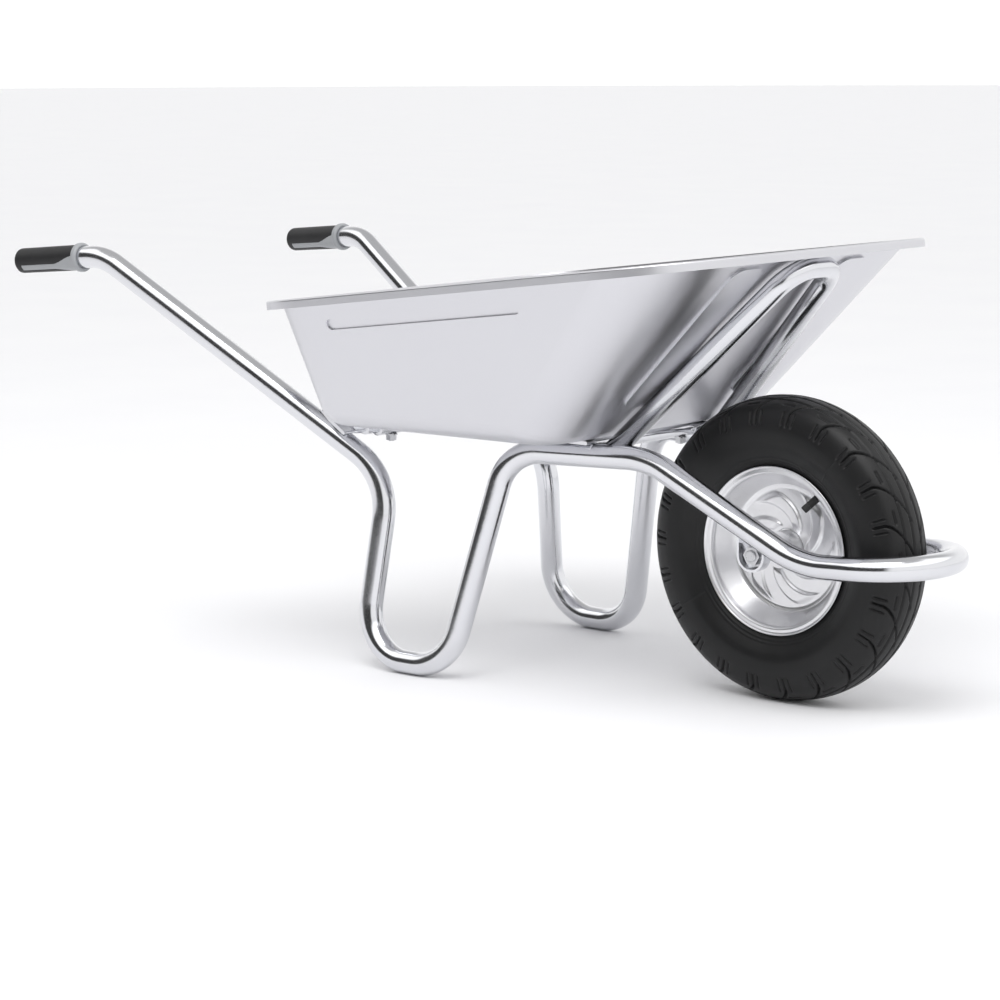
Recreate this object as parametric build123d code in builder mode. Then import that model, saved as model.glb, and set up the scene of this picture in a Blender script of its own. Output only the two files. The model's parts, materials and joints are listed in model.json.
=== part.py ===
"""Wheelbarrow with a tubular frame, a pressed steel tray and one pneumatic wheel.

Frame: +X forward, +Y to the user's left, +Z up.  The origin is on the ground, on the centre
plane, half-way along the overall length.  Millimetres.
"""
import os
from math import atan2, cos, degrees, radians, sin, sqrt, tan

from build123d import *

# ---------------------------------------------------------------- driving dimensions
# wheel
tyre_radius = 200.0
tyre_half_width = 46.0
bead_seat_radius = 101.6
rim_flange_radius = 111.0
rim_flange_half_gap = 32.0
disc_ring_radius = 84.0
rim_sheet = 1.6
bead_seat_width = 6.0
hub_radius = 24.0
hub_half_length = 22.0
axle_diameter = 15.0
bearing_outer_diameter = 35.0
bearing_width = 11.0

# frame tube
tube_diameter = 32.0
tube_wall = 1.5
loop_gap = 22.0
loop_side_gap = 28.0
grip_reach = 1168.0

# tray
tray_length = 702.0
tray_front_overhang = 38.0
tray_rear_width = 624.0
tray_front_width = 596.0
floor_rear_inset = 54.0
floor_front_inset = 248.0
floor_rear_width = 524.0
floor_front_width = 492.0
rim_rear_height = 503.7
rim_rise = 86.6
tray_sheet = 1.0
rim_flange = 20.0
rim_lip = 12.0

floor_rear_corner = 60.0
floor_front_corner = 70.0
rim_rear_corner = 90.0
rim_front_corner = 120.0
floor_edge_bend = 35.0
flute_height = 3.0
flute_width = 64.0
flute_centre = 116.0
flute_top_height = 235.0
flute_corner = 20.0
flute_start = 66.5
groove_depth = 3.0
groove_width = 15.0
groove_length = 330.0

# crossbars and front brace
crossbar_radius = 11.0
crossbar_wall = 1.5
crossbar_flat = 5.0
crossbar_tail_width = 54.0
crossbar_tail_lap = 10.0
crossbar_tail_root = 10.0
crossbar_shoulder = 9.0
flare_share = 0.35
flare_width = 30.0
flare_thickness = 15.0
flare_drop = 2.5
rear_crossbar_reach = 575.0
rear_tail_reach = 628.0
front_crossbar_reach = 248.0
rear_bolt_spacing = 268.0
front_bolt_spacing = 190.0
brace_radius = 14.0
brace_foot_spacing = 226.0
brace_top_spacing = 94.0
brace_top_bend = 43.0
brace_height = 229.0
brace_foot_depth = 16.0

# fasteners
bolt_radius = 4.0
bolt_length = 33.0
bolt_head_radius = 9.5
bolt_head_height = 4.0
washer_thickness = 1.6
washer_radius = 8.5
nut_across_flats = 13.0
nut_thickness = 7.0
axle_washer_thickness = 2.0
axle_nut_across_flats = 22.0
axle_nut_thickness = 9.0
axle_end_reach = 3.0
spacer_wall = 2.3

# grips
grip_length = 119.0
grip_radius = 18.5
grip_core_radius = 17.2
grip_collar_radius = 21.0
grip_collar_length = 9.0
grip_cap = 5.0
grip_stripe = 9.0
tube_end_inset = 1.0

# clearances
seat_clearance = 0.05
running_clearance = 0.05
hole_clearance = 0.3

# ---------------------------------------------------------------- derived positions
tube_radius = tube_diameter / 2
front_reach = tyre_radius + loop_gap + tube_diameter
axle_x = (grip_reach - front_reach) / 2
axle_z = tyre_radius
loop_half_spacing = tyre_half_width + loop_side_gap + tube_radius

# centre line of the right half of the frame tube, from the grip to the front loop
deck_height = 315.0
handle_end = (axle_x - grip_reach + grip_cap + tube_end_inset, -283, 535)
handle_bend = (axle_x - 1005, -268, 548)
leg_top = (axle_x - 547, -169, 261)
leg_rear_foot = (axle_x - 564, -205, tube_radius)
leg_front_foot = (axle_x - 413, -201, tube_radius)
deck_rear = (axle_x - 344, -156, deck_height)
deck_front = (axle_x - 147, -108, deck_height)
fork_bend = (axle_x + 81, -loop_half_spacing, axle_z - 2)
loop_corner = (axle_x + front_reach - tube_radius, -loop_half_spacing, axle_z + 5)
right_half = [
    handle_end,
    handle_bend,
    leg_top,
    leg_rear_foot,
    leg_front_foot,
    deck_rear,
    deck_front,
    fork_bend,
    loop_corner,
]
left_half = [(x, -y, z) for x, y, z in reversed(right_half)]
half_bend_radii = [75, 95, 70, 70, 62, 120, 150, loop_half_spacing - 1]
bend_radii = half_bend_radii + half_bend_radii[::-1]


def point_between(start, end, x):
    """Point at station x on the straight line from start to end."""
    share = (x - start[0]) / (end[0] - start[0])
    return tuple(start[i] + share * (end[i] - start[i]) for i in range(3))


# tray outline: floor level and tilted rim plane
floor_z = deck_height + tube_radius + crossbar_flat + 1
rim_front_x = axle_x + tray_front_overhang
rim_rear_x = rim_front_x - tray_length
floor_front_x = rim_front_x - floor_front_inset
floor_rear_x = rim_rear_x + floor_rear_inset
rim_front_height = rim_rear_height + rim_rise
rim_plane = Plane(
    origin=(rim_rear_x, 0, rim_rear_height),
    x_dir=(tray_length, 0, rim_rise),
    z_dir=(-rim_rise, 0, tray_length),
)
rim_plane_length = sqrt(tray_length**2 + rim_rise**2)
panel_slope = degrees(atan2(rim_front_height - floor_z, floor_front_inset))


# ---------------------------------------------------------------- frame tube
# One tube bent from the right grip down through the right leg, up over the deck, down to the
# wheel fork, round the front loop and back along the left side.
with BuildPart() as frame_envelope:
    with BuildLine() as frame_line:
        FilletPolyline(*right_half, *left_half, radius=bend_radii)
    with BuildSketch(Plane(origin=frame_line.line @ 0, z_dir=frame_line.line % 0)):
        Circle(tube_radius)
    sweep()

with BuildPart() as chassis_tube:
    with BuildLine() as tube_line:
        FilletPolyline(*right_half, *left_half, radius=bend_radii)
    with BuildSketch(Plane(origin=tube_line.line @ 0, z_dir=tube_line.line % 0)):
        Circle(tube_radius)
        Circle(tube_radius - tube_wall, mode=Mode.SUBTRACT)
    sweep()


# ---------------------------------------------------------------- crossbars
def tail_plane(x, y, z, slope):
    """Section plane facing along Y, its long direction tilted to the slope of the frame tube."""
    return Plane(origin=(x, y, z), x_dir=(cos(slope), 0, sin(slope)), z_dir=(0, -1, 0))


def crossbar(x, tail_x, tube_start, tube_end, bolt_spacing):
    """Round tube along Y whose ends are squeezed flat and saddle over the frame tube."""
    round_half_length = bolt_spacing / 2 + crossbar_shoulder
    seat = point_between(tube_start, tube_end, tail_x)
    slope = atan2(tube_end[2] - tube_start[2], tube_end[0] - tube_start[0])
    seat_height = seat[2] + (tube_radius + crossbar_flat / 2 - 1) / cos(slope)
    flat_start = -seat[1] - crossbar_tail_root
    flat_length = crossbar_tail_root + crossbar_tail_lap
    centre_height = floor_z - crossbar_radius
    flare_x = x + flare_share * (tail_x - x)
    flare_start = round_half_length + flare_share * (flat_start - round_half_length)
    flare_height = centre_height + flare_share * (seat_height - centre_height) - flare_drop
    with BuildPart() as bar:
        with BuildSketch(Plane(origin=(x, 0, centre_height), z_dir=(0, -1, 0), x_dir=(1, 0, 0))):
            Circle(crossbar_radius)
        extrude(amount=round_half_length)
        with BuildSketch(tail_plane(x, -round_half_length, centre_height, slope)) as root:
            Circle(crossbar_radius)
        with BuildSketch(tail_plane(tail_x, -flat_start, seat_height, slope)) as tail:
            SlotOverall(crossbar_tail_width, crossbar_flat)
        with BuildSketch(tail_plane(flare_x, -flare_start, flare_height, flare_share * slope)) as flare:
            SlotOverall(flare_width, flare_thickness)
        if tail_x == x:
            loft(sections=[root.sketch, tail.sketch])
        else:
            loft(sections=[root.sketch, flare.sketch, tail.sketch])
        with BuildSketch(tail_plane(tail_x, -flat_start, seat_height, slope)) as tail_end:
            SlotOverall(crossbar_tail_width, crossbar_flat)
        extrude(amount=flat_length)
        with BuildSketch(Plane(origin=(x, 0, centre_height), z_dir=(0, -1, 0), x_dir=(1, 0, 0))):
            Circle(crossbar_radius - crossbar_wall)
        extrude(amount=round_half_length, mode=Mode.SUBTRACT)
        mirror(about=Plane.XZ)
        with Locations((x, bolt_spacing / 2, centre_height), (x, -bolt_spacing / 2, centre_height)):
            Cylinder(bolt_radius + hole_clearance, 3 * crossbar_radius, mode=Mode.SUBTRACT)
        add(frame_envelope.part, mode=Mode.SUBTRACT)
    return bar.part


rear_bar_x = axle_x - rear_crossbar_reach
rear_tail_x = axle_x - rear_tail_reach
front_bar_x = axle_x - front_crossbar_reach
with BuildPart() as rear_crossbar:
    add(crossbar(rear_bar_x, rear_tail_x, handle_bend, leg_top, rear_bolt_spacing))
with BuildPart() as front_crossbar:
    add(crossbar(front_bar_x, front_bar_x, deck_rear, deck_front, front_bolt_spacing))


# ---------------------------------------------------------------- front brace
brace_offset = (brace_radius + flute_height + hole_clearance) / sin(radians(panel_slope))


def brace_point(y, height):
    """Point of the brace's centre line, in the plane that runs in front of the front panel."""
    return (floor_front_x + brace_offset + height / tan(radians(panel_slope)), y, floor_z + height)


brace_points = [
    brace_point(-brace_foot_spacing / 2, -brace_foot_depth),
    brace_point(-brace_top_spacing / 2, brace_height),
    brace_point(brace_top_spacing / 2, brace_height),
    brace_point(brace_foot_spacing / 2, -brace_foot_depth),
]
with BuildPart() as front_brace:
    with BuildLine() as brace_line:
        FilletPolyline(*brace_points, radius=brace_top_bend)
    with BuildSketch(Plane(origin=brace_line.line @ 0, z_dir=brace_line.line % 0)):
        Circle(brace_radius)
        Circle(brace_radius - tube_wall, mode=Mode.SUBTRACT)
    sweep()
    add(frame_envelope.part, mode=Mode.SUBTRACT)


# ---------------------------------------------------------------- tray
side_slope = atan2(tray_rear_width - floor_rear_width, 2 * (rim_rear_height - floor_z))
rear_slope = atan2(floor_rear_inset, rim_rear_height - floor_z)


def tray_outline(rear_x, front_x, rear_width, front_width, rear_corner, front_corner):
    """Four-sided outline, narrower at the front, with rounded corners."""
    Polygon(
        (rear_x, -rear_width / 2),
        (front_x, -front_width / 2),
        (front_x, front_width / 2),
        (rear_x, rear_width / 2),
        align=None,
    )
    fillet(vertices().group_by(Axis.X)[0], rear_corner)
    fillet(vertices().group_by(Axis.X)[-1], front_corner)


def press_form(skin):
    """The tray's solid shape with its walls set in, and its floor raised, by skin."""
    rear_share = skin / (rim_rear_height - floor_z)
    front_share = skin / (rim_front_height - floor_z)
    rear_skin = skin / cos(rear_slope)
    side_skin = skin / cos(side_slope)
    front_skin = skin / sin(radians(panel_slope))
    with BuildPart() as form:
        with BuildSketch(Plane.XY.offset(floor_z + skin)):
            tray_outline(
                floor_rear_x - rear_share * floor_rear_inset + rear_skin,
                floor_front_x + front_share * floor_front_inset - front_skin,
                floor_rear_width + rear_share * (tray_rear_width - floor_rear_width) - 2 * side_skin,
                floor_front_width + front_share * (tray_front_width - floor_front_width) - 2 * side_skin,
                floor_rear_corner - skin,
                floor_front_corner - skin,
            )
        with BuildSketch(rim_plane):
            tray_outline(
                rear_skin,
                rim_plane_length - front_skin,
                tray_rear_width - 2 * side_skin,
                tray_front_width - 2 * side_skin,
                rim_rear_corner - skin,
                rim_front_corner - skin,
            )
        loft()
        fillet(form.faces().sort_by(Axis.Z)[0].edges(), floor_edge_bend - skin)
    return form.part


# front panel plane: local X up the slope, local Z out of the tray
panel_plane = Plane(
    origin=(floor_front_x, 0, floor_z),
    x_dir=(cos(radians(panel_slope)), 0, sin(radians(panel_slope))),
    z_dir=(sin(radians(panel_slope)), 0, -cos(radians(panel_slope))),
)
flute_top = flute_top_height / sin(radians(panel_slope))
flute_length = flute_top - flute_start
flute_middle = (flute_top + flute_start) / 2

# groove plane on the right-hand wall: local X along the wall, local Z out of the tray
groove_along = 0.435
groove_up = 0.80
floor_line_point = Vector(
    floor_rear_x + groove_along * (floor_front_x - floor_rear_x),
    -(floor_rear_width + groove_along * (floor_front_width - floor_rear_width)) / 2,
    floor_z,
)
rim_line_point = Vector(
    rim_rear_x + groove_along * tray_length,
    -(tray_rear_width + groove_along * (tray_front_width - tray_rear_width)) / 2,
    rim_rear_height + groove_along * rim_rise,
)
wall_along = Vector(tray_length, (tray_rear_width - tray_front_width) / 2, rim_rise)
wall_up = rim_line_point - floor_line_point
groove_plane = Plane(
    origin=floor_line_point + wall_up * groove_up,
    x_dir=wall_along,
    z_dir=wall_along.cross(wall_up),
)
bolt_places = [
    (rear_bar_x, rear_bolt_spacing / 2),
    (rear_bar_x, -rear_bolt_spacing / 2),
    (front_bar_x, front_bolt_spacing / 2),
    (front_bar_x, -front_bolt_spacing / 2),
]


# cutters for the long grooves pressed into both side walls
with BuildPart() as groove_outside:
    with BuildSketch(groove_plane.offset(-groove_depth)):
        SlotOverall(groove_length, groove_width)
    extrude(amount=3 * groove_depth)
    mirror(about=Plane.XZ)
with BuildPart() as groove_inside:
    with BuildSketch(groove_plane.offset(-groove_depth - tray_sheet)):
        SlotOverall(groove_length + 2 * tray_sheet, groove_width + 2 * tray_sheet)
    extrude(amount=3 * groove_depth)
    mirror(about=Plane.XZ)

with BuildPart() as tray_hollow:
    add(press_form(tray_sheet))
    with BuildSketch(panel_plane.offset(-2 * flute_height)):
        with Locations((flute_middle, flute_centre), (flute_middle, -flute_centre)):
            RectangleRounded(
                flute_length - 2 * tray_sheet,
                flute_width - 2 * tray_sheet,
                flute_corner - tray_sheet,
            )
    extrude(amount=3 * flute_height - tray_sheet)
    add(groove_inside.part, mode=Mode.SUBTRACT)

with BuildPart() as tray:
    with BuildSketch(rim_plane):
        tray_outline(
            -rim_flange,
            rim_plane_length + rim_flange,
            tray_rear_width + 2 * rim_flange,
            tray_front_width + 2 * rim_flange,
            rim_rear_corner + rim_flange,
            rim_front_corner + rim_flange,
        )
    extrude(amount=-rim_lip)
    flange_edges = tray.faces().sort_by(Axis((0, 0, 0), rim_plane.z_dir))[-1].edges()
    fillet(flange_edges, 3 * tray_sheet)
    with BuildSketch(rim_plane.offset(-tray_sheet)):
        tray_outline(
            tray_sheet - rim_flange,
            rim_plane_length + rim_flange - tray_sheet,
            tray_rear_width + 2 * (rim_flange - tray_sheet),
            tray_front_width + 2 * (rim_flange - tray_sheet),
            rim_rear_corner + rim_flange - tray_sheet,
            rim_front_corner + rim_flange - tray_sheet,
        )
    extrude(amount=-rim_lip, mode=Mode.SUBTRACT)
    add(press_form(0))
    with BuildSketch(panel_plane):
        with Locations((flute_middle, flute_centre), (flute_middle, -flute_centre)):
            RectangleRounded(flute_length, flute_width, flute_corner)
    extrude(amount=flute_height)
    add(groove_outside.part, mode=Mode.SUBTRACT)
    add(tray_hollow.part, mode=Mode.SUBTRACT)
    with Locations(*[(x, y, floor_z) for x, y in bolt_places]):
        Cylinder(bolt_radius + hole_clearance, 4 * tray_sheet, mode=Mode.SUBTRACT)


# ---------------------------------------------------------------- tray fasteners
floor_top = floor_z + tray_sheet
bar_underside = floor_z - 2 * crossbar_radius
washer_underside = bar_underside - washer_thickness

with BuildPart() as tray_bolts:
    with Locations(*[(x, y, floor_top) for x, y in bolt_places]):
        Cylinder(bolt_radius, bolt_length, align=(Align.CENTER, Align.CENTER, Align.MAX))
        Cylinder(bolt_head_radius, bolt_head_height, align=(Align.CENTER, Align.CENTER, Align.MIN))
    fillet(tray_bolts.edges().filter_by(GeomType.CIRCLE).group_by(Axis.Z)[-1], bolt_head_height * 0.9)

with BuildPart() as tray_washers:
    with BuildSketch(Plane.XY.offset(bar_underside)):
        with Locations(*bolt_places):
            Circle(washer_radius)
            Circle(bolt_radius + seat_clearance, mode=Mode.SUBTRACT)
    extrude(amount=-washer_thickness)

with BuildPart() as tray_nuts:
    with BuildSketch(Plane.XY.offset(washer_underside)):
        with Locations(*bolt_places):
            RegularPolygon(nut_across_flats / 2, 6, major_radius=False)
            Circle(bolt_radius + seat_clearance, mode=Mode.SUBTRACT)
    extrude(amount=-nut_thickness)


# ---------------------------------------------------------------- grips
grip_direction = (Vector(*handle_bend) - Vector(*handle_end)).normalized()
grip_plane = Plane(
    origin=handle_end,
    x_dir=Vector(0, 0, 1).cross(grip_direction),
    z_dir=grip_direction,
)
stripe_length = grip_length - grip_collar_length - grip_cap
stripe_middle = grip_cap + stripe_length / 2

with BuildPart() as right_grip_core:
    with BuildSketch(grip_plane):
        Circle(grip_core_radius)
    extrude(amount=grip_length)
    with BuildSketch(grip_plane.offset(grip_length - grip_collar_length)):
        Circle(grip_collar_radius)
    extrude(amount=grip_collar_length)
    fillet(right_grip_core.edges().filter_by(GeomType.CIRCLE).sort_by(Axis.X)[-1], 2.5)
    with BuildSketch(grip_plane.offset(grip_cap)):
        with Locations((grip_core_radius, 0), (-grip_core_radius, 0)):
            Rectangle(2 * (grip_radius - grip_core_radius), grip_stripe)
    extrude(amount=stripe_length)
    with BuildSketch(grip_plane):
        Circle(tube_radius + seat_clearance)
    extrude(amount=grip_length, mode=Mode.SUBTRACT)

with BuildPart() as right_grip_cover:
    with BuildSketch(grip_plane.offset(-grip_cap)):
        Circle(grip_radius)
    extrude(amount=grip_cap + grip_length - grip_collar_length - hole_clearance)
    fillet(right_grip_cover.edges().filter_by(GeomType.CIRCLE).sort_by(Axis.X)[0], 0.9 * grip_cap)
    with BuildSketch(grip_plane.offset(-seat_clearance)):
        Circle(grip_core_radius + seat_clearance)
    extrude(amount=grip_length, mode=Mode.SUBTRACT)
    with BuildSketch(grip_plane.offset(grip_cap - hole_clearance)):
        with Locations((grip_radius, 0), (-grip_radius, 0)):
            Rectangle(2 * (grip_radius - tube_radius), grip_stripe + 2 * hole_clearance)
    extrude(amount=grip_length, mode=Mode.SUBTRACT)

with BuildPart() as left_grip_core:
    mirror(right_grip_core.part, about=Plane.XZ)
with BuildPart() as left_grip_cover:
    mirror(right_grip_cover.part, about=Plane.XZ)


# ---------------------------------------------------------------- axle brackets
# Pressed cups with their open side outwards, welded along the inner side of the fork tubes.
fork_tube_y = -point_between(deck_front, fork_bend, axle_x)[1]
bracket_depth = 16.0
bracket_lap = 4.0
bracket_inner = fork_tube_y - tube_radius - bracket_depth + bracket_lap
bracket_radius = 21.0
bracket_sheet = 3.0
front_edge_height = point_between(deck_front, fork_bend, axle_x + bracket_radius)[2]
rear_edge_height = point_between(deck_front, fork_bend, axle_x - bracket_radius)[2]


def bracket_outline(inset):
    """Round nose around the axle with straight sides up to the slope of the fork tube."""
    half_width = bracket_radius - inset
    with Locations((axle_x, axle_z)):
        Circle(half_width)
    Polygon(
        (axle_x - half_width, axle_z),
        (axle_x + half_width, axle_z),
        (axle_x + half_width, front_edge_height - 2 * inset),
        (axle_x - half_width, rear_edge_height - 2 * inset),
        align=None,
    )


with BuildPart() as right_axle_bracket:
    with BuildSketch(Plane.XZ.offset(bracket_inner)):
        bracket_outline(0)
    extrude(amount=bracket_depth)
    with BuildSketch(Plane.XZ.offset(bracket_inner + bracket_sheet)):
        bracket_outline(bracket_sheet)
    extrude(amount=bracket_depth, mode=Mode.SUBTRACT)
    with BuildSketch(Plane.XZ.offset(bracket_inner)):
        with Locations((axle_x, axle_z)):
            Circle(axle_diameter / 2 + hole_clearance)
    extrude(amount=bracket_sheet, mode=Mode.SUBTRACT)
    add(frame_envelope.part, mode=Mode.SUBTRACT)

with BuildPart() as left_axle_bracket:
    mirror(right_axle_bracket.part, about=Plane.XZ)


# ---------------------------------------------------------------- axle and its fasteners
axle_radius = axle_diameter / 2
axle_centre = (axle_x, 0, axle_z)
bearing_face = hub_half_length - 0.5
axle_washer_face = bracket_inner + bracket_sheet
axle_nut_face = axle_washer_face + axle_washer_thickness
axle_half_length = axle_nut_face + axle_nut_thickness + axle_end_reach
wheel_section = Plane(origin=axle_centre, x_dir=(1, 0, 0), z_dir=(0, 0, 1))
axle_line = Axis(axle_centre, (0, 1, 0))


def side_plane(distance):
    """Plane across the axle line at this distance on the right-hand side, facing outwards."""
    return Plane(origin=(axle_x, -distance, axle_z), x_dir=(1, 0, 0), z_dir=(0, -1, 0))


with BuildPart() as axle:
    with BuildSketch(side_plane(-axle_half_length)):
        Circle(axle_radius)
    extrude(amount=2 * axle_half_length)
    chamfer(axle.edges().filter_by(GeomType.CIRCLE), 1)

with BuildPart() as axle_washers:
    with BuildSketch(side_plane(axle_washer_face)):
        Circle(axle_radius * 2)
        Circle(axle_radius + seat_clearance, mode=Mode.SUBTRACT)
    extrude(amount=axle_washer_thickness)
    mirror(about=Plane.XZ)

with BuildPart() as axle_nuts:
    with BuildSketch(side_plane(axle_nut_face)):
        RegularPolygon(axle_nut_across_flats / 2, 6, major_radius=False)
        Circle(axle_radius + seat_clearance, mode=Mode.SUBTRACT)
    extrude(amount=axle_nut_thickness)
    mirror(about=Plane.XZ)

with BuildPart() as axle_spacers:
    with BuildSketch(side_plane(bearing_face)):
        Circle(axle_radius + spacer_wall)
        Circle(axle_radius + seat_clearance, mode=Mode.SUBTRACT)
    extrude(amount=bracket_inner - bearing_face)
    mirror(about=Plane.XZ)

with BuildPart() as bearing_spacer:
    with BuildSketch(side_plane(bearing_width - bearing_face)):
        Circle(axle_radius + spacer_wall)
        Circle(axle_radius + seat_clearance, mode=Mode.SUBTRACT)
    extrude(amount=2 * (bearing_face - bearing_width))


# ---------------------------------------------------------------- wheel bearings
bearing_outer_radius = bearing_outer_diameter / 2
bearing_middle = bearing_face - bearing_width / 2
ball_circle_radius = (bearing_outer_radius + axle_radius) / 2
ball_radius = 2.95
inner_shoulder = ball_circle_radius - 2.3
outer_shoulder = ball_circle_radius + 2.3
ball_count = 8

with BuildPart() as bearing_inner_rings:
    with BuildSketch(side_plane(bearing_face - bearing_width)):
        Circle(inner_shoulder)
        Circle(axle_radius + seat_clearance, mode=Mode.SUBTRACT)
    extrude(amount=bearing_width)
    with BuildSketch(wheel_section):
        with Locations((ball_circle_radius, -bearing_middle)):
            Circle(ball_radius + running_clearance)
    revolve(axis=axle_line, mode=Mode.SUBTRACT)
    mirror(about=Plane.XZ)

with BuildPart() as bearing_outer_rings:
    with BuildSketch(side_plane(bearing_face - bearing_width)):
        Circle(bearing_outer_radius)
        Circle(outer_shoulder, mode=Mode.SUBTRACT)
    extrude(amount=bearing_width)
    with BuildSketch(wheel_section):
        with Locations((ball_circle_radius, -bearing_middle)):
            Circle(ball_radius + seat_clearance)
    revolve(axis=axle_line, mode=Mode.SUBTRACT)
    mirror(about=Plane.XZ)

with BuildPart() as bearing_balls:
    with Locations(side_plane(bearing_middle)):
        with PolarLocations(ball_circle_radius, ball_count):
            Sphere(ball_radius)
    mirror(about=Plane.XZ)

with BuildPart() as bearing_seals:
    for face in (bearing_face, bearing_face - bearing_width + 0.8):
        with BuildSketch(side_plane(face)):
            Circle(outer_shoulder - seat_clearance)
            Circle(inner_shoulder + hole_clearance, mode=Mode.SUBTRACT)
        extrude(amount=-0.8)
    mirror(about=Plane.XZ)


# ---------------------------------------------------------------- hub and rim
with BuildPart() as hub:
    with BuildSketch(side_plane(-hub_half_length)):
        Circle(hub_radius)
        Circle(bearing_outer_radius - 2, mode=Mode.SUBTRACT)
    extrude(amount=2 * hub_half_length)
    for start in (hub_half_length, bearing_width - bearing_face):
        with BuildSketch(side_plane(start)):
            Circle(bearing_outer_radius + seat_clearance)
        extrude(amount=-(hub_half_length - bearing_face + bearing_width), mode=Mode.SUBTRACT)

lobe_count = 6
lobe_height = 3.0
lobe_slant = 25.0
lobe_length = 42.0
lobe_width = 20.0
lobe_circle_radius = (hub_radius + disc_ring_radius) / 2
sheet_middle = rim_sheet / 2
seat_line = bead_seat_radius - sheet_middle
flange_line = rim_flange_half_gap + sheet_middle
well_edge = rim_flange_half_gap - bead_seat_width
valve_angle = 52.0
cone_rise = seat_line - disc_ring_radius
cone_run = well_edge - sheet_middle
cone_length = sqrt(cone_rise**2 + cone_run**2)
valve_share = 0.62
valve_hole_radius = 5.3
valve_base_radius = disc_ring_radius + valve_share * cone_rise
valve_base_y = -(sheet_middle + valve_share * cone_run)
valve_out_radial = -cone_run / cone_length
valve_out_side = cone_rise / cone_length
valve_plane = Plane(
    origin=(
        axle_x + valve_base_radius * cos(radians(valve_angle)),
        valve_base_y,
        axle_z + valve_base_radius * sin(radians(valve_angle)),
    ),
    x_dir=(-sin(radians(valve_angle)), 0, cos(radians(valve_angle))),
    z_dir=(
        valve_out_radial * cos(radians(valve_angle)),
        -valve_out_side,
        valve_out_radial * sin(radians(valve_angle)),
    ),
)


def rim_half():
    """Right half of the rim: flat disc, sloping well wall, bead seat and turned flange."""
    with BuildPart() as half:
        with BuildSketch(wheel_section):
            with BuildLine():
                FilletPolyline(
                    (hub_radius + rim_sheet / 2 + seat_clearance, -sheet_middle),
                    (disc_ring_radius, -sheet_middle),
                    (seat_line, -well_edge),
                    (seat_line, -flange_line),
                    (rim_flange_radius - 2, -flange_line),
                    (rim_flange_radius - sheet_middle, -flange_line - 3),
                    radius=[4, 5, 2.5, 1.2],
                )
            trace(line_width=rim_sheet)
        revolve(axis=axle_line)
        with BuildSketch(side_plane(rim_sheet)):
            with PolarLocations(lobe_circle_radius, lobe_count):
                SlotOverall(lobe_length, lobe_width, rotation=lobe_slant)
        extrude(amount=lobe_height)
        with BuildSketch(side_plane(0)):
            with PolarLocations(lobe_circle_radius, lobe_count):
                SlotOverall(lobe_length - 2 * rim_sheet, lobe_width - 2 * rim_sheet, rotation=lobe_slant)
        extrude(amount=lobe_height, mode=Mode.SUBTRACT)
    return half.part


with BuildPart() as right_rim_half:
    add(rim_half())
    with Locations(valve_plane):
        Cylinder(valve_hole_radius, 12, mode=Mode.SUBTRACT)
with BuildPart() as left_rim_half:
    mirror(rim_half(), about=Plane.XZ)


# ---------------------------------------------------------------- tyre, tube and valve
bead_side = rim_flange_half_gap - seat_clearance
bead_toe = well_edge - 1
section_height = tyre_radius - bead_seat_radius
bead_base = bead_seat_radius + seat_clearance
bulge_radius = (tyre_radius + bead_seat_radius) / 2
bead_bevel = 3.0
casing = 4.5
tread = 8.0

with BuildPart() as tyre:
    with BuildSketch(wheel_section) as tyre_section:
        with BuildLine():
            Polyline(
                (bead_base, -bead_toe),
                (bead_base, -bead_side + bead_bevel),
                (bead_base + bead_bevel, -bead_side),
                (rim_flange_radius + 1, -bead_side),
            )
            Spline(
                (rim_flange_radius + 1, -bead_side),
                (bulge_radius - 0.15 * section_height, -tyre_half_width + 2.5),
                (bulge_radius, -tyre_half_width),
                (bulge_radius + 0.18 * section_height, -tyre_half_width + 2),
                (tyre_radius - 0.13 * section_height, -tyre_half_width + 10),
            )
            Spline(
                (tyre_radius - 0.13 * section_height, -tyre_half_width + 10),
                (tyre_radius - 0.032 * section_height, -tyre_half_width * 0.46),
                (tyre_radius, 0),
                tangents=((0.6, 1), (0, 1)),
            )
            Line((tyre_radius, 0), (tyre_radius - tread, 0))
            Spline(
                (tyre_radius - tread, 0),
                (tyre_radius - tread - 0.06 * section_height, -tyre_half_width / 2),
                (bulge_radius + 0.18 * section_height, -tyre_half_width + casing + 3.5),
                (bulge_radius, -tyre_half_width + casing),
                (rim_flange_radius + 16, -tyre_half_width + casing + 6),
                (rim_flange_radius, -bead_toe),
                tangents=((0, -1), (-1, 0.4)),
            )
            Line((rim_flange_radius, -bead_toe), (bead_base, -bead_toe))
        make_face()
        mirror(about=Plane.XZ)
    revolve(axis=axle_line)

tube_centre_radius = (rim_flange_radius + tyre_radius - tread) / 2
tube_half_height = (tyre_radius - tread - rim_flange_radius) / 2 - 0.6
tube_half_width = tyre_half_width - casing - 0.6
inner_tube_wall = 1.5
with BuildPart() as inner_tube:
    with BuildSketch(wheel_section):
        with Locations((tube_centre_radius, 0)):
            Ellipse(tube_half_height, tube_half_width)
            Ellipse(
                tube_half_height - inner_tube_wall,
                tube_half_width - inner_tube_wall,
                mode=Mode.SUBTRACT,
            )
    revolve(axis=axle_line)

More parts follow.
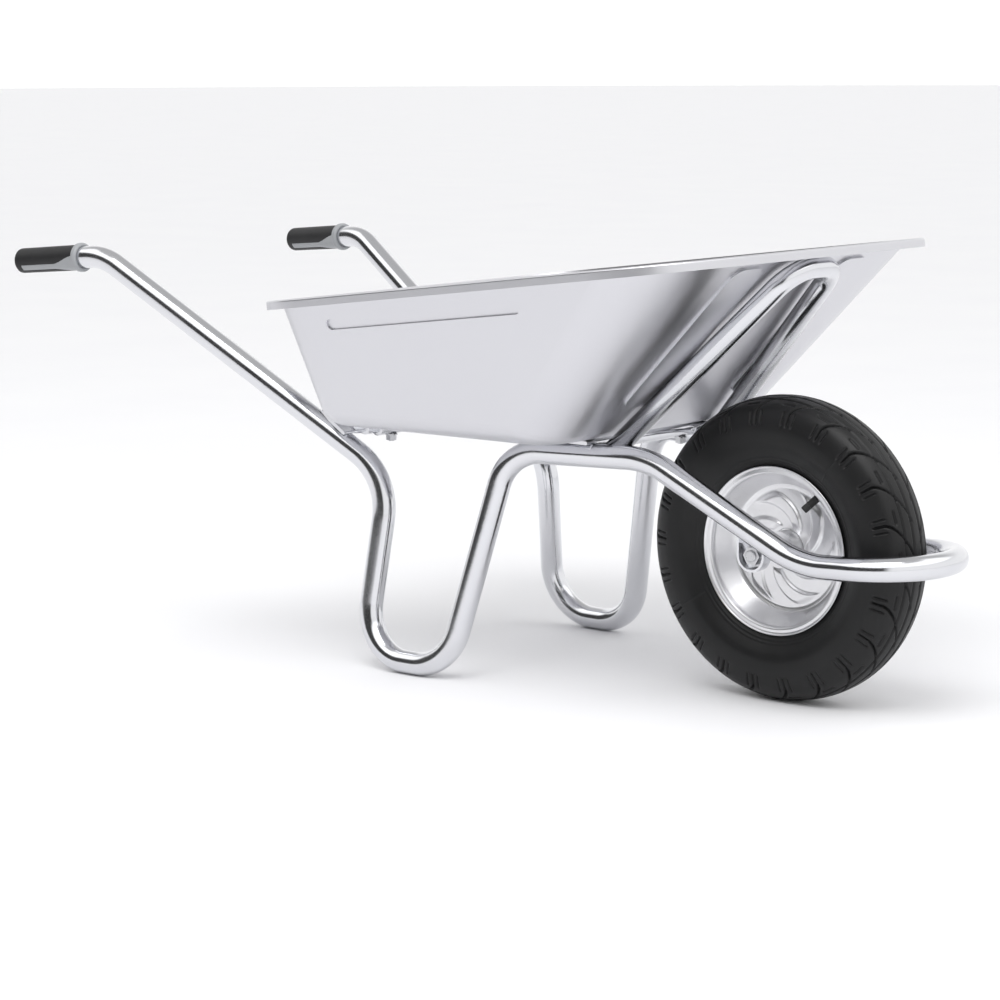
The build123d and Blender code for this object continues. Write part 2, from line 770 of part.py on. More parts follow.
valve_radius = 5.0
valve_outer_length = 24.0
valve_inner_length = 18.0
valve_cap_radius = 5.0
valve_cap_length = 9.0
valve_pin_radius = 3.2
valve_pin_length = 7.0
with BuildPart() as valve_stem:
    with BuildSketch(valve_plane.offset(-valve_inner_length)):
        Circle(valve_radius)
    extrude(amount=valve_inner_length + valve_outer_length - valve_pin_length)
    with BuildSketch(valve_plane.offset(valve_outer_length - valve_pin_length)):
        Circle(valve_pin_radius)
    extrude(amount=valve_pin_length)
    with BuildSketch(wheel_section):
        with Locations((tube_centre_radius, 0)):
            Ellipse(tube_half_height + hole_clearance, tube_half_width + hole_clearance)
    revolve(axis=axle_line, mode=Mode.SUBTRACT)

with BuildPart() as valve_cap:
    with BuildSketch(valve_plane.offset(valve_outer_length - valve_pin_length + hole_clearance)):
        Circle(valve_cap_radius)
    extrude(amount=valve_cap_length)
    fillet(valve_cap.faces().sort_by(Axis.Y)[0].edges(), 1.2)
    with BuildSketch(valve_plane.offset(valve_outer_length - valve_pin_length)):
        Circle(valve_pin_radius + seat_clearance)
    extrude(amount=valve_pin_length + seat_clearance, mode=Mode.SUBTRACT)


# ---------------------------------------------------------------- files
pieces = {
    "chassis_tube": chassis_tube,
    "rear_crossbar": rear_crossbar,
    "front_crossbar": front_crossbar,
    "front_brace": front_brace,
    "tray": tray,
    "tray_bolts": tray_bolts,
    "tray_washers": tray_washers,
    "tray_nuts": tray_nuts,
    "right_grip_core": right_grip_core,
    "right_grip_cover": right_grip_cover,
    "left_grip_core": left_grip_core,
    "left_grip_cover": left_grip_cover,
    "right_axle_bracket": right_axle_bracket,
    "left_axle_bracket": left_axle_bracket,
    "axle": axle,
    "axle_washers": axle_washers,
    "axle_nuts": axle_nuts,
    "axle_spacers": axle_spacers,
    "bearing_spacer": bearing_spacer,
    "bearing_inner_rings": bearing_inner_rings,
    "bearing_outer_rings": bearing_outer_rings,
    "bearing_balls": bearing_balls,
    "bearing_seals": bearing_seals,
    "hub": hub,
    "right_rim_half": right_rim_half,
    "left_rim_half": left_rim_half,
    "tyre": tyre,
    "inner_tube": inner_tube,
    "valve_stem": valve_stem,
    "valve_cap": valve_cap,
}
os.makedirs("parts", exist_ok=True)
for piece_name, piece in pieces.items():
    piece.part.label = piece_name
    export_step(piece.part, f"parts/{piece_name}.step")
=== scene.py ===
"""Studio scene of the wheelbarrow: camera, light, materials and the pieces that need finer shape.

Metres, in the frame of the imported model: +X forward, +Y to the user's left, +Z up.
"""
import json
from math import atan2, cos, degrees, pi, radians, sin, sqrt, tan

import bmesh
import bpy
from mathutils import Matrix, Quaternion, Vector


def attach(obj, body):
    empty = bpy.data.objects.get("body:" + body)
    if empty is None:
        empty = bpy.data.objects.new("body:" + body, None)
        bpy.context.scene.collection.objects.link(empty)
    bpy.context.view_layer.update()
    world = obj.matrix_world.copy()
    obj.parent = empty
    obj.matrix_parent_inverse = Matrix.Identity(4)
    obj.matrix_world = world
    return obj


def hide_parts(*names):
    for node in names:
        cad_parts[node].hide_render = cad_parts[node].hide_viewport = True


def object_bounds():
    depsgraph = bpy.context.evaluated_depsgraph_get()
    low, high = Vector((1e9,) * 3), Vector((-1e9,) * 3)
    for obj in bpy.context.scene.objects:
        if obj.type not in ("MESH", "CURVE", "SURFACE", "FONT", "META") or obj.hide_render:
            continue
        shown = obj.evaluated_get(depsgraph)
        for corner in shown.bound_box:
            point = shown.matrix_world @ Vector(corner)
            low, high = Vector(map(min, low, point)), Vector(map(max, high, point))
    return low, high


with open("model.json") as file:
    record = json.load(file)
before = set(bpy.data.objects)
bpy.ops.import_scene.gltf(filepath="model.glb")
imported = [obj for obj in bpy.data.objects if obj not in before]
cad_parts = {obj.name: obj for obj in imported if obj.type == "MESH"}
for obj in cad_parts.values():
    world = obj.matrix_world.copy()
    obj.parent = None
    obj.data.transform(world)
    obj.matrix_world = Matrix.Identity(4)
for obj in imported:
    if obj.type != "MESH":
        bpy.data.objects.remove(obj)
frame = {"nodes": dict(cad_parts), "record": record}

cad_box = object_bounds()
nodes = frame["nodes"]
scene = bpy.context.scene

# ---------------------------------------------------------------- driving values
camera_azimuth = 40.518
camera_elevation = 8.902
camera_distance = 4.2567
camera_target = Vector((-0.0355, 0.0, 0.2138))
camera_roll = -0.1937
camera_lens = 109.24

floor_radius = 40.0
world_strength = 1.0


# ---------------------------------------------------------------- node helpers
class Graph:
    """Adds shader nodes to a tree and joins them up."""

    def __init__(self, tree):
        self.tree = tree
        tree.nodes.clear()

    def node(self, kind, **settings):
        made = self.tree.nodes.new("ShaderNode" + kind)
        for name, value in settings.items():
            setattr(made, name, value)
        return made

    def put(self, socket, value):
        """Joins a socket to an output, or sets its value."""
        if isinstance(value, bpy.types.NodeSocket):
            self.tree.links.new(value, socket)
        elif value is not None:
            socket.default_value = value

    def math(self, operation, first, second=None, third=None, clamp=False):
        made = self.node("Math", operation=operation, use_clamp=clamp)
        for socket, value in zip(made.inputs, (first, second, third)):
            self.put(socket, value)
        return made.outputs[0]

    def separate(self, vector):
        made = self.node("SeparateXYZ")
        self.put(made.inputs[0], vector)
        return made.outputs

    def combine(self, x, y, z):
        made = self.node("CombineXYZ")
        for socket, value in zip(made.inputs, (x, y, z)):
            self.put(socket, value)
        return made.outputs[0]

    def step(self, value, low, high):
        """0 below low, 1 above high, smooth between them."""
        made = self.node("MapRange", interpolation_type="SMOOTHSTEP")
        for socket, number in zip(made.inputs, (value, low, high, 0.0, 1.0)):
            self.put(socket, number)
        return made.outputs[0]

    def between(self, value, low, high, soft):
        """1 from low to high, fading over soft at both ends."""
        rise = self.step(value, low - soft, low + soft)
        fall = self.step(value, high + soft, high - soft)
        return self.math("MULTIPLY", rise, fall)

    def range(self, value, low, high, to_low, to_high):
        made = self.node("MapRange")
        for socket, number in zip(made.inputs, (value, low, high, to_low, to_high)):
            self.put(socket, number)
        return made.outputs[0]

    def mix(self, share, first, second):
        made = self.node("Mix", data_type="RGBA")
        self.put(made.inputs[0], share)
        self.put(made.inputs[6], first)
        self.put(made.inputs[7], second)
        return made.outputs[2]

    def mix_number(self, share, first, second):
        made = self.node("Mix", data_type="FLOAT")
        self.put(made.inputs[0], share)
        self.put(made.inputs[2], first)
        self.put(made.inputs[3], second)
        return made.outputs[0]

    def noise(self, vector, scale, detail=2.0, rough=0.5, distortion=0.0):
        made = self.node("TexNoise")
        self.put(made.inputs["Vector"], vector)
        made.inputs["Scale"].default_value = scale
        made.inputs["Detail"].default_value = detail
        made.inputs["Roughness"].default_value = rough
        made.inputs["Distortion"].default_value = distortion
        return made.outputs[0]

    def voronoi(self, vector, scale):
        made = self.node("TexVoronoi")
        self.put(made.inputs["Vector"], vector)
        made.inputs["Scale"].default_value = scale
        return made.outputs[0]

    def bump(self, height, strength, distance, normal=None):
        made = self.node("Bump")
        made.inputs["Strength"].default_value = strength
        made.inputs["Distance"].default_value = distance
        self.put(made.inputs["Height"], height)
        self.put(made.inputs["Normal"], normal)
        return made.outputs[0]


def grey(value):
    return (value, value, value, 1.0)


# ---------------------------------------------------------------- studio
def make_camera():
    azimuth = radians(camera_azimuth)
    elevation = radians(camera_elevation)
    away = Vector((sin(azimuth) * cos(elevation), -cos(azimuth) * cos(elevation), sin(elevation)))
    camera = bpy.data.objects.new("camera", bpy.data.cameras.new("camera"))
    scene.collection.objects.link(camera)
    camera.location = camera_target + away * camera_distance
    camera.rotation_mode = "QUATERNION"
    turn = Quaternion((0.0, 0.0, 1.0), radians(camera_roll))
    camera.rotation_quaternion = (-away).to_track_quat("-Z", "Y") @ turn
    camera.data.lens = camera_lens
    camera.data.sensor_width = 36.0
    camera.data.clip_end = 200.0
    scene.camera = camera


def make_floor():
    mesh = bpy.data.meshes.new("floor")
    shape = bmesh.new()
    bmesh.ops.create_circle(shape, cap_ends=True, segments=96, radius=floor_radius)
    shape.to_mesh(mesh)
    shape.free()
    floor = bpy.data.objects.new("floor", mesh)
    scene.collection.objects.link(floor)
    floor.location.z = cad_box[0].z
    paint = bpy.data.materials.new("floor_paint")
    paint.use_nodes = True
    graph = Graph(paint.node_tree)
    shader = graph.node("BsdfPrincipled")
    place = graph.node("TexCoord").outputs["Object"]
    mottle = graph.noise(place, 3.0)
    graph.put(shader.inputs["Base Color"], graph.mix(mottle, (0.90, 0.90, 0.92, 1), (0.93, 0.93, 0.94, 1)))
    shader.inputs["Roughness"].default_value = 0.7
    shader.inputs["Specular IOR Level"].default_value = 0.1
    output = graph.node("OutputMaterial")
    graph.put(output.inputs[0], shader.outputs[0])
    mesh.materials.append(paint)


def make_world():
    """A soft white studio: pale all round, a broad light high in front, a dark gap low on one side."""
    world = bpy.data.worlds.new("studio")
    scene.world = world
    world.use_nodes = True
    graph = Graph(world.node_tree)
    turned = graph.node("VectorRotate", rotation_type="Z_AXIS")
    graph.put(turned.inputs["Vector"], graph.node("TexCoord").outputs["Generated"])
    turned.inputs["Angle"].default_value = radians(90.0 - camera_azimuth)
    x, y, z = graph.separate(turned.outputs[0])
    side = graph.math("DEGREES", graph.math("ARCTAN2", y, x))
    height = graph.math("DEGREES", graph.math("ARCSINE", z))
    level = graph.mix_number(graph.step(height, 22.0, 45.0), 1.12, 0.58)
    front = graph.between(side, -125.0, 125.0, 12.0)
    light = graph.math("MULTIPLY", front, graph.between(height, 32.0, 62.0, 2.5))
    level = graph.mix_number(light, level, 1.55)
    gap = graph.math("MULTIPLY", graph.between(side, -116.0, -4.0, 6.0), graph.step(height, 32.0, 28.0))
    level = graph.mix_number(gap, level, 0.06)
    seen = graph.node("LightPath").outputs["Is Camera Ray"]
    level = graph.mix_number(seen, level, 1.1)
    background = graph.node("Background")
    graph.put(background.inputs["Color"], graph.combine(level, level, level))
    background.inputs["Strength"].default_value = world_strength
    output = graph.node("OutputWorld")
    graph.put(output.inputs[0], background.outputs[0])


def make_light(name, place, aim, size, power):
    data = bpy.data.lights.new(name, "AREA")
    data.shape = "RECTANGLE"
    data.size, data.size_y = size
    data.energy = power
    light = bpy.data.objects.new(name, data)
    scene.collection.objects.link(light)
    light.location = place
    light.rotation_mode = "QUATERNION"
    light.rotation_quaternion = (Vector(aim) - Vector(place)).to_track_quat("-Z", "Y")


# ---------------------------------------------------------------- materials
def material(name):
    made = bpy.data.materials.new(name)
    made.use_nodes = True
    graph = Graph(made.node_tree)
    shader = graph.node("BsdfPrincipled")
    output = graph.node("OutputMaterial")
    graph.put(output.inputs[0], shader.outputs[0])
    place = graph.node("TexCoord").outputs["Object"]
    return made, graph, shader, place


def galvanised_tube():
    """Bright zinc on drawn tube: glossy, with faint clouding and a very fine orange peel."""
    made, graph, shader, place = material("galvanised_tube")
    cloud = graph.noise(place, 14.0, 3.0)
    speck = graph.noise(place, 420.0, 2.0)
    colour = graph.mix(cloud, (0.67, 0.68, 0.71, 1), (0.73, 0.73, 0.75, 1))
    graph.put(shader.inputs["Base Color"], colour)
    shader.inputs["Metallic"].default_value = 1.0
    rough = graph.range(cloud, 0.3, 0.7, 0.09, 0.17)
    graph.put(shader.inputs["Roughness"], graph.math("MULTIPLY_ADD", speck, 0.05, rough))
    graph.put(shader.inputs["Normal"], graph.bump(speck, 0.06, 0.0006))
    return made


def galvanised_sheet():
    """Satin zinc on pressed sheet, with fine upright brushing and soft clouding."""
    made, graph, shader, place = material("galvanised_sheet")
    x, y, z = graph.separate(place)
    brushing = graph.noise(graph.combine(graph.math("MULTIPLY", x, 900.0), graph.math("MULTIPLY", y, 900.0),
                                         graph.math("MULTIPLY", z, 18.0)), 1.0, 3.0)
    cloud = graph.noise(place, 5.0, 2.0)
    colour = graph.mix(cloud, (0.62, 0.62, 0.65, 1), (0.68, 0.68, 0.705, 1))
    graph.put(shader.inputs["Base Color"], colour)
    shader.inputs["Metallic"].default_value = 1.0
    rough = graph.range(cloud, 0.3, 0.7, 0.27, 0.34)
    graph.put(shader.inputs["Roughness"], graph.math("MULTIPLY_ADD", brushing, 0.08, rough))
    graph.put(shader.inputs["Normal"], graph.bump(brushing, 0.08, 0.0008))
    return made


def rim_steel():
    made, graph, shader, place = material("rim_steel")
    cloud = graph.noise(place, 30.0, 3.0)
    grain = graph.noise(place, 900.0, 2.0)
    graph.put(shader.inputs["Base Color"], graph.mix(cloud, (0.74, 0.74, 0.76, 1), (0.82, 0.82, 0.83, 1)))
    shader.inputs["Metallic"].default_value = 1.0
    graph.put(shader.inputs["Roughness"], graph.range(grain, 0.2, 0.8, 0.26, 0.38))
    graph.put(shader.inputs["Normal"], graph.bump(grain, 0.05, 0.0005))
    return made


def plain_metal(name, dark, bright, rough_low, rough_high):
    made, graph, shader, place = material(name)
    grain = graph.noise(place, 700.0, 3.0)
    graph.put(shader.inputs["Base Color"], graph.mix(grain, dark, bright))
    shader.inputs["Metallic"].default_value = 1.0
    graph.put(shader.inputs["Roughness"], graph.range(grain, 0.25, 0.75, rough_low, rough_high))
    graph.put(shader.inputs["Normal"], graph.bump(grain, 0.08, 0.0004))
    return made


def rubber(name, dark, bright, rough_low, rough_high, grain_scale):
    made, graph, shader, place = material(name)
    cloud = graph.noise(place, 25.0, 4.0)
    grain = graph.noise(place, grain_scale, 3.0)
    graph.put(shader.inputs["Base Color"], graph.mix(cloud, dark, bright))
    graph.put(shader.inputs["Roughness"], graph.range(grain, 0.25, 0.75, rough_low, rough_high))
    shader.inputs["Specular IOR Level"].default_value = 0.35
    graph.put(shader.inputs["Normal"], graph.bump(grain, 0.25, 0.0006))
    return made


def moulded_plastic(name, dark, bright):
    made, graph, shader, place = material(name)
    grain = graph.voronoi(place, 1600.0)
    cloud = graph.noise(place, 60.0, 2.0)
    graph.put(shader.inputs["Base Color"], graph.mix(cloud, dark, bright))
    graph.put(shader.inputs["Roughness"], graph.range(cloud, 0.3, 0.7, 0.38, 0.5))
    graph.put(shader.inputs["Normal"], graph.bump(grain, 0.2, 0.0003))
    return made


finishes = {
    "galvanised_tube": galvanised_tube(),
    "galvanised_sheet": galvanised_sheet(),
    "rim_steel": rim_steel(),
    "zinc_fasteners": plain_metal(
        "zinc_fasteners", (0.52, 0.53, 0.55, 1), (0.70, 0.70, 0.71, 1), 0.24, 0.4),
    "bearing_steel": plain_metal("bearing_steel", (0.60, 0.60, 0.62, 1), (0.72, 0.72, 0.73, 1), 0.10, 0.2),
    "tyre_rubber": rubber(
        "tyre_rubber", (0.003, 0.003, 0.0033, 1), (0.009, 0.009, 0.0095, 1), 0.36, 0.52, 900.0),
    "tube_rubber": rubber("tube_rubber", (0.02, 0.02, 0.02, 1), (0.035, 0.035, 0.035, 1), 0.5, 0.7, 700.0),
    "grip_rubber": rubber(
        "grip_rubber", (0.010, 0.010, 0.011, 1), (0.020, 0.020, 0.021, 1), 0.45, 0.62, 1500.0),
    "grip_plastic": moulded_plastic("grip_plastic", (0.30, 0.31, 0.33, 1), (0.36, 0.37, 0.38, 1)),
    "seal_rubber": rubber("seal_rubber", (0.010, 0.010, 0.010, 1), (0.02, 0.02, 0.02, 1), 0.4, 0.6, 1500.0),
    "cap_plastic": moulded_plastic("cap_plastic", (0.008, 0.008, 0.008, 1), (0.016, 0.016, 0.016, 1)),
}
for part in frame["record"]["subparts"]:
    for holder in nodes[part["node"]].material_slots:
        holder.material = finishes[part["material_slot"]]


# ---------------------------------------------------------------- shapes
# lengths in this part are in millimetres, and turned into metres by make_mesh
axle_x = 457.0
axle_z = 200.0
axle_centre = (axle_x, 0.0, axle_z)
tyre_radius = 200.0
tube_radius = 16.0
brace_radius = 14.0
brace_gap = 3.3
floor_z = 337.0
floor_front_x = axle_x - 210.0
panel_slope = atan2(253.3, 248.0)


def smooth(value, low, high):
    """0 below low, 1 above high, smooth between them."""
    share = min(1.0, max(0.0, (value - low) / (high - low)))
    return share * share * (3.0 - 2.0 * share)


def distance(first, second):
    return sqrt((second[0] - first[0]) ** 2 + (second[1] - first[1]) ** 2)


def directions(line):
    """Unit direction of a line in its section plane at each of its points."""
    found = []
    for index in range(len(line)):
        first = line[max(0, index - 1)]
        second = line[min(len(line) - 1, index + 1)]
        length = distance(first, second)
        found.append(((second[0] - first[0]) / length, (second[1] - first[1]) / length))
    return found


def make_mesh(name, points, faces, body, node, materials, choices=None):
    """Smooth-shaded piece in metres that rides on a body and stands for a node of the model."""
    mesh = bpy.data.meshes.new(name)
    mesh.from_pydata([tuple(value / 1000.0 for value in point) for point in points], [], faces)
    for paint in materials:
        mesh.materials.append(finishes[paint])
    mesh.polygons.foreach_set("use_smooth", [True] * len(mesh.polygons))
    if choices:
        mesh.polygons.foreach_set("material_index", choices)
    shape = bmesh.new()
    shape.from_mesh(mesh)
    bmesh.ops.recalc_face_normals(shape, faces=shape.faces)
    shape.to_mesh(mesh)
    shape.free()
    piece = bpy.data.objects.new(name, mesh)
    scene.collection.objects.link(piece)
    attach(piece, body)
    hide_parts(node)


def curve_through(points, spacing):
    """Smooth curve through the points, sampled about every spacing."""
    ends = [points[0]] + list(points) + [points[-1]]
    curve = []
    for before, start, stop, after in zip(ends, ends[1:], ends[2:], ends[3:]):
        count = max(1, round(distance(start, stop) / spacing))
        for index in range(count):
            t = index / count
            curve.append(tuple(
                0.5 * (2 * start[k] + (stop[k] - before[k]) * t
                       + (2 * before[k] - 5 * start[k] + 4 * stop[k] - after[k]) * t * t
                       + (3 * start[k] - before[k] - 3 * stop[k] + after[k]) * t ** 3)
                for k in range(2)))
    curve.append(points[-1])
    return curve


def lathe(origin, axis, side, section, count, shift):
    """Points and faces of a closed section (radius, along) turned about an axis and then shifted."""
    axis = Vector(axis).normalized()
    side = Vector(side).normalized()
    up = side.cross(axis)
    rows = len(section)
    points = []
    for turn in range(count):
        angle = 2 * pi * turn / count
        outward = side * cos(angle) + up * sin(angle)
        for index, (radius, along) in enumerate(section):
            more_radius, more_along = shift(index, angle, radius, along)
            points.append(Vector(origin) + outward * (radius + more_radius) + axis * (along + more_along))
    faces = []
    for turn in range(count):
        here = turn * rows
        there = (turn + 1) % count * rows
        for index in range(rows):
            after = (index + 1) % rows
            faces.append((here + index, here + after, there + after, there + index))
    return points, faces


# ---------------------------------------------------------------- tyre
tread_pitches = 22
tread_reach = 64.0
groove_sweep = 70.0
groove_straight_from = 48.0
groove_half_width = 1.5
groove_depth = 5.0
sipe_offset = 9.5
sipe_half_width = 0.9
sipe_depth = 3.4
hook_place = 31.0
hook_half_length = 9.0
crown_lines = ((8.0, 1.1, 4.5), (22.0, 0.9, 3.2))
bead_ribs = (117.0, 121.5)
flash_angles = (0.9, 3.7)
tyre_turns = 1056


def make_tyre():
    """Tyre with ribs at the bead, flash lines and a swept block tread."""
    right = [(104.6, -31.9), (112.0, -31.9), (136.0, -43.4), (150.8, -45.9), (168.0, -44.0),
             (186.5, -36.0), (196.6, -21.2), (199.9, 0.0)]
    outer = curve_through(right + [(radius, -along) for radius, along in reversed(right[:-1])], 1.25)
    inner = [(101.7, 29.0), (101.7, 25.2), (111.0, 25.2), (127.0, 35.0), (150.0, 41.3), (178.0, 32.0),
             (190.0, 12.0), (190.0, -12.0), (178.0, -32.0), (150.0, -41.3), (127.0, -35.0),
             (111.0, -25.2), (101.7, -25.2), (101.7, -29.0)]
    middle = len(outer) // 2
    reach = [0.0]
    for first, second in zip(outer, outer[1:]):
        reach.append(reach[-1] + distance(first, second))
    across = [value - reach[middle] for value in reach]
    normals = [(ahead_along, -ahead_radius) for ahead_radius, ahead_along in directions(outer)]
    pitch = 2 * pi * tyre_radius / tread_pitches

    def cut(away, half_width, depth):
        return depth * (1.0 - smooth(abs(away), half_width - 0.5, half_width + 0.7))

    def ridge(away, height, inner_edge, outer_edge):
        return height * (1.0 - smooth(abs(away), inner_edge, outer_edge))

    def tread_depth(place, step):
        """Depth of the pattern at a distance from the crown and a distance along one pitch."""
        fade = 1.0 - smooth(place, tread_reach - 4.0, tread_reach)
        sweep = groove_sweep * max(0.0, 1.0 - place / groove_straight_from) ** 1.8
        depth = max(cut(place - line, half_width, deep) for line, half_width, deep in crown_lines)
        for turn in (-2 * pitch, -pitch, 0.0, pitch):
            groove = cut(step + sweep + turn, groove_half_width, groove_depth)
            depth = max(depth, groove * smooth(place, 3.0, 7.0) * fade)
            for offset in (-sipe_offset, sipe_offset):
                sipe = cut(step + offset + turn, sipe_half_width, sipe_depth)
                depth = max(depth, sipe * smooth(place, 42.0, 45.0) * fade)
            near = 1.0 - smooth(abs(step - 8.0 + turn), hook_half_length, hook_half_length + 1.5)
            depth = max(depth, cut(place - hook_place, 1.0, 3.0) * near)
        return depth

    def side_height(angle, radius):
        """Height of the ribs beside the bead and of the two flash lines."""
        height = max(ridge(radius - rib, 0.5, 0.6, 1.4) for rib in bead_ribs)
        for flash in flash_angles:
            line = ridge((angle - flash) * radius, 0.35, 0.5, 1.2)
            height = max(height, line * smooth(radius, 124, 126))
        return height

    def shift(index, angle, radius, along):
        if index < 3 or index > len(outer) - 4:
            return 0.0, 0.0
        place = abs(across[index])
        side = 1.0 if across[index] > 0 else 0.5
        step = (angle * tyre_radius + side * pitch) % pitch - pitch / 2
        amount = -tread_depth(place, step) if place < tread_reach else side_height(angle, radius)
        return amount * normals[index][0], amount * normals[index][1]

    points, faces = lathe(axle_centre, (0, 1, 0), (1, 0, 0), outer + inner, tyre_turns, shift)
    make_mesh("tyre_detailed", points, faces, "wheel", "tyre", ["tyre_rubber"])


# ---------------------------------------------------------------- rim
rim_half_sheet = 0.78
blade_count = 6
blade_height = 2.9
blade_twist = 1.15
disc_ring_radius = 81.5
disc_ring_height = 0.8
disc_reach = 88.0
rim_turns = 360


def make_rim_half(name, node, hand):
    """Half of the rim: fan-shaped pressings in the disc, a sloping well and a turned flange."""
    line = [(24.9, 0.8), (60.0, 0.8), (81.0, 0.8), (84.0, 2.2), (86.4, 5.0), (99.6, 24.6), (100.8, 27.0),
            (100.8, 31.2), (102.4, 32.8), (107.6, 32.8), (109.4, 33.6), (110.1, 35.2)]
    centre = []
    for first, second in zip(line, line[1:]):
        count = max(1, round(distance(first, second) / 1.2))
        for index in range(count):
            centre.append(tuple(first[k] + (second[k] - first[k]) * index / count for k in range(2)))
    centre.append(line[-1])
    outside = []
    inside = []
    for (radius, along), (ahead_radius, ahead_along) in zip(centre, directions(centre)):
        over = -rim_half_sheet * ahead_along
        out = rim_half_sheet * ahead_radius
        outside.append((radius + over, hand * (along + out)))
        inside.append((radius - over, hand * (along - out)))

    def shift(index, angle, radius, along):
        if radius > disc_reach:
            return 0.0, 0.0
        twist = angle * hand + blade_twist * (radius - 30.0) / 50.0
        blade = smooth(cos(blade_count * twist), -0.15, 0.45)
        window = smooth(radius, 27.0, 37.0) * (1.0 - smooth(radius, 67.0, 77.0))
        ring = 1.0 - smooth(abs(radius - disc_ring_radius), 1.0, 2.4)
        return 0.0, hand * (blade_height * blade * window + disc_ring_height * ring)

    points, faces = lathe(axle_centre, (0, 1, 0), (1, 0, 0), outside + inside[::-1], rim_turns, shift)
    make_mesh(name, points, faces, "wheel", node, ["rim_steel"])


# ---------------------------------------------------------------- grips
stripe_angle = radians(38.0)
stripe_start = 9.0
stripe_half_width = 4.6
stripe_flare = 11.0
stripe_radius = 18.3
stripe_seam_depth = 0.5
shell_rows = 90
core_turns = 96
cover_turns = 144


def make_grip(side_name, hand):
    """Grey collar and stripes showing through a soft black cover with a rounded end."""
    end = Vector((axle_x - 1162.0, hand * 283.0, 535.0))
    bend = Vector((axle_x - 1005.0, hand * 268.0, 548.0))
    axis = (bend - end).normalized()
    side = Vector((0, 0, 1)).cross(axis).normalized()
    core = [(16.1, 0.0), (17.2, 0.0), (17.2, 108.0), (18.2, 110.0), (19.6, 110.2), (20.7, 111.4),
            (20.95, 113.0), (20.95, 116.2), (20.3, 118.2), (18.4, 118.95), (16.1, 118.95)]
    points, faces = lathe(end, axis, side, core, core_turns, lambda *place: (0.0, 0.0))
    make_mesh(side_name + "_grip_core_detailed", points, faces, "frame",
              side_name + "_grip_core", ["grip_plastic"])
    rear = [(0.2, -4.95), (8.0, -4.9), (13.0, -4.6), (16.0, -3.4), (17.6, -1.4), (18.0, 1.0)]
    shell = []
    for index in range(1, shell_rows + 1):
        shell.append((18.0 + 0.45 * index / shell_rows, 1.0 + 108.6 * index / shell_rows))
    cover = rear + shell + [(17.25, 109.6), (17.25, 0.2), (0.2, 0.2)]

    def edge(angle, along):
        """Distance round the grip from the edge of the nearer stripe, negative inside it."""
        reach = stripe_half_width + stripe_flare * smooth(along, 62.0, 111.0) ** 1.5
        around = angle if angle < pi else angle - 2 * pi
        places = (stripe_angle, pi - stripe_angle, -stripe_angle - pi, 2 * pi + stripe_angle)
        return min(abs(around - place) for place in places) * stripe_radius - reach

    def shift(index, angle, radius, along):
        if index < len(rear) or index >= len(rear) + len(shell) or along < stripe_start:
            return 0.0, 0.0
        return -stripe_seam_depth * (1.0 - smooth(abs(edge(angle, along)), 0.3, 0.9)), 0.0

    points, faces = lathe(end, axis, side, cover, cover_turns, shift)
    choices = []
    for turn in range(cover_turns):
        angle = 2 * pi * (turn + 0.5) / cover_turns
        for index in range(len(cover)):
            on_shell = len(rear) <= index < len(rear) + len(shell) - 1
            along = cover[index][1]
            in_stripe = on_shell and along > stripe_start and edge(angle, along) < 0.0
            choices.append(1 if in_stripe else 0)
    make_mesh(side_name + "_grip_cover_detailed", points, faces, "frame", side_name + "_grip_cover",
              ["grip_rubber", "grip_plastic"], choices)


# ---------------------------------------------------------------- tubes
tube_sides = 48
bend_step = 3.0


def bent_path(corners, bends):
    """Points along a line whose corners are rounded to the bend radii."""
    path = [Vector(corners[0])]
    for before, corner, after, bend in zip(corners, corners[1:], corners[2:], bends):
        corner = Vector(corner)
        back = (Vector(before) - corner).normalized()
        ahead = (Vector(after) - corner).normalized()
        half = back.angle(ahead) / 2
        start = corner + back * (bend / tan(half))
        centre = corner + (back + ahead).normalized() * (bend / sin(half))
        spoke = start - centre
        pivot = back.cross(ahead).normalized()
        turn = -(pi - 2 * half)
        count = max(4, round(abs(degrees(turn)) / bend_step))
        for index in range(count + 1):
            path.append(centre + Quaternion(pivot, turn * index / count) @ spoke)
    path.append(Vector(corners[-1]))
    return path


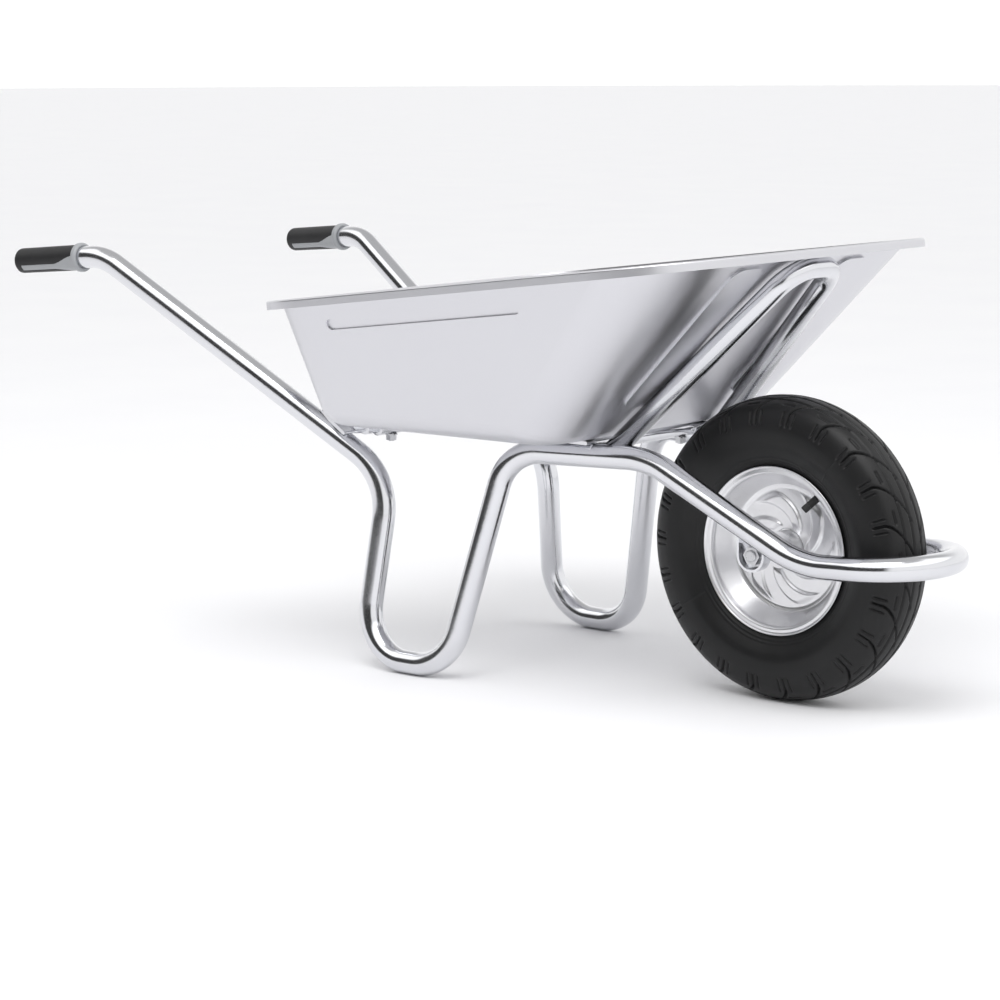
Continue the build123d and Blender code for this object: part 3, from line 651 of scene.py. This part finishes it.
def make_tube(name, node, corners, bends, radius):
    """Round bar swept along a bent line, closed at both ends."""
    path = bent_path(corners, bends)
    heading = (path[1] - path[0]).normalized()
    across = heading.orthogonal().normalized()
    points = []
    for index, place in enumerate(path):
        if index:
            before = (place - path[index - 1]).normalized()
            after = (path[index + 1] - place).normalized() if index + 1 < len(path) else before
            fresh = (before + after).normalized()
            across = heading.rotation_difference(fresh) @ across
            heading = fresh
        other = heading.cross(across)
        for turn in range(tube_sides):
            angle = 2 * pi * turn / tube_sides
            points.append(place + (across * cos(angle) + other * sin(angle)) * radius)
    faces = []
    for index in range(len(path) - 1):
        for turn in range(tube_sides):
            here = index * tube_sides + turn
            beside = index * tube_sides + (turn + 1) % tube_sides
            faces.append((here, beside, beside + tube_sides, here + tube_sides))
    faces.append(tuple(range(tube_sides)))
    faces.append(tuple(range(len(points) - tube_sides, len(points))))
    make_mesh(name, points, faces, "frame", node, ["galvanised_tube"])


right_side = [
    (axle_x - 1162.0, -283.0, 535.0),
    (axle_x - 1005.0, -268.0, 548.0),
    (axle_x - 547.0, -169.0, 261.0),
    (axle_x - 564.0, -205.0, tube_radius),
    (axle_x - 413.0, -201.0, tube_radius),
    (axle_x - 344.0, -156.0, 315.0),
    (axle_x - 147.0, -108.0, 315.0),
    (axle_x + 81.0, -90.0, axle_z - 2.0),
    (axle_x + 238.0, -90.0, axle_z + 5.0),
]
left_side = [(x, -y, z) for x, y, z in reversed(right_side)]
side_bends = [75.0, 95.0, 70.0, 70.0, 62.0, 120.0, 150.0, 89.0]
brace_bend = 43.0


def brace_point(y, height):
    """Point of the brace's centre line, in the plane that runs in front of the front panel."""
    offset = (brace_radius + brace_gap) / sin(panel_slope)
    return (floor_front_x + offset + height / tan(panel_slope), y, floor_z + height)


brace_line = [
    brace_point(-113.0, -16.0),
    brace_point(-47.0, 229.0),
    brace_point(47.0, 229.0),
    brace_point(113.0, -16.0),
]

make_tyre()
make_rim_half("right_rim_half_detailed", "right_rim_half", -1.0)
make_rim_half("left_rim_half_detailed", "left_rim_half", 1.0)
make_grip("right", -1.0)
make_grip("left", 1.0)
make_tube("chassis_tube_smooth", "chassis_tube", right_side + left_side,
          side_bends + side_bends[::-1], tube_radius)
make_tube("front_brace_smooth", "front_brace", brace_line, [brace_bend, brace_bend], brace_radius)


# ---------------------------------------------------------------- scene
make_camera()
make_floor()
make_world()
make_light("key_light", (1.2, -1.6, 3.6), (0.0, 0.0, 0.3), (2.6, 2.0), 60.0)
scene.view_settings.view_transform = "Standard"
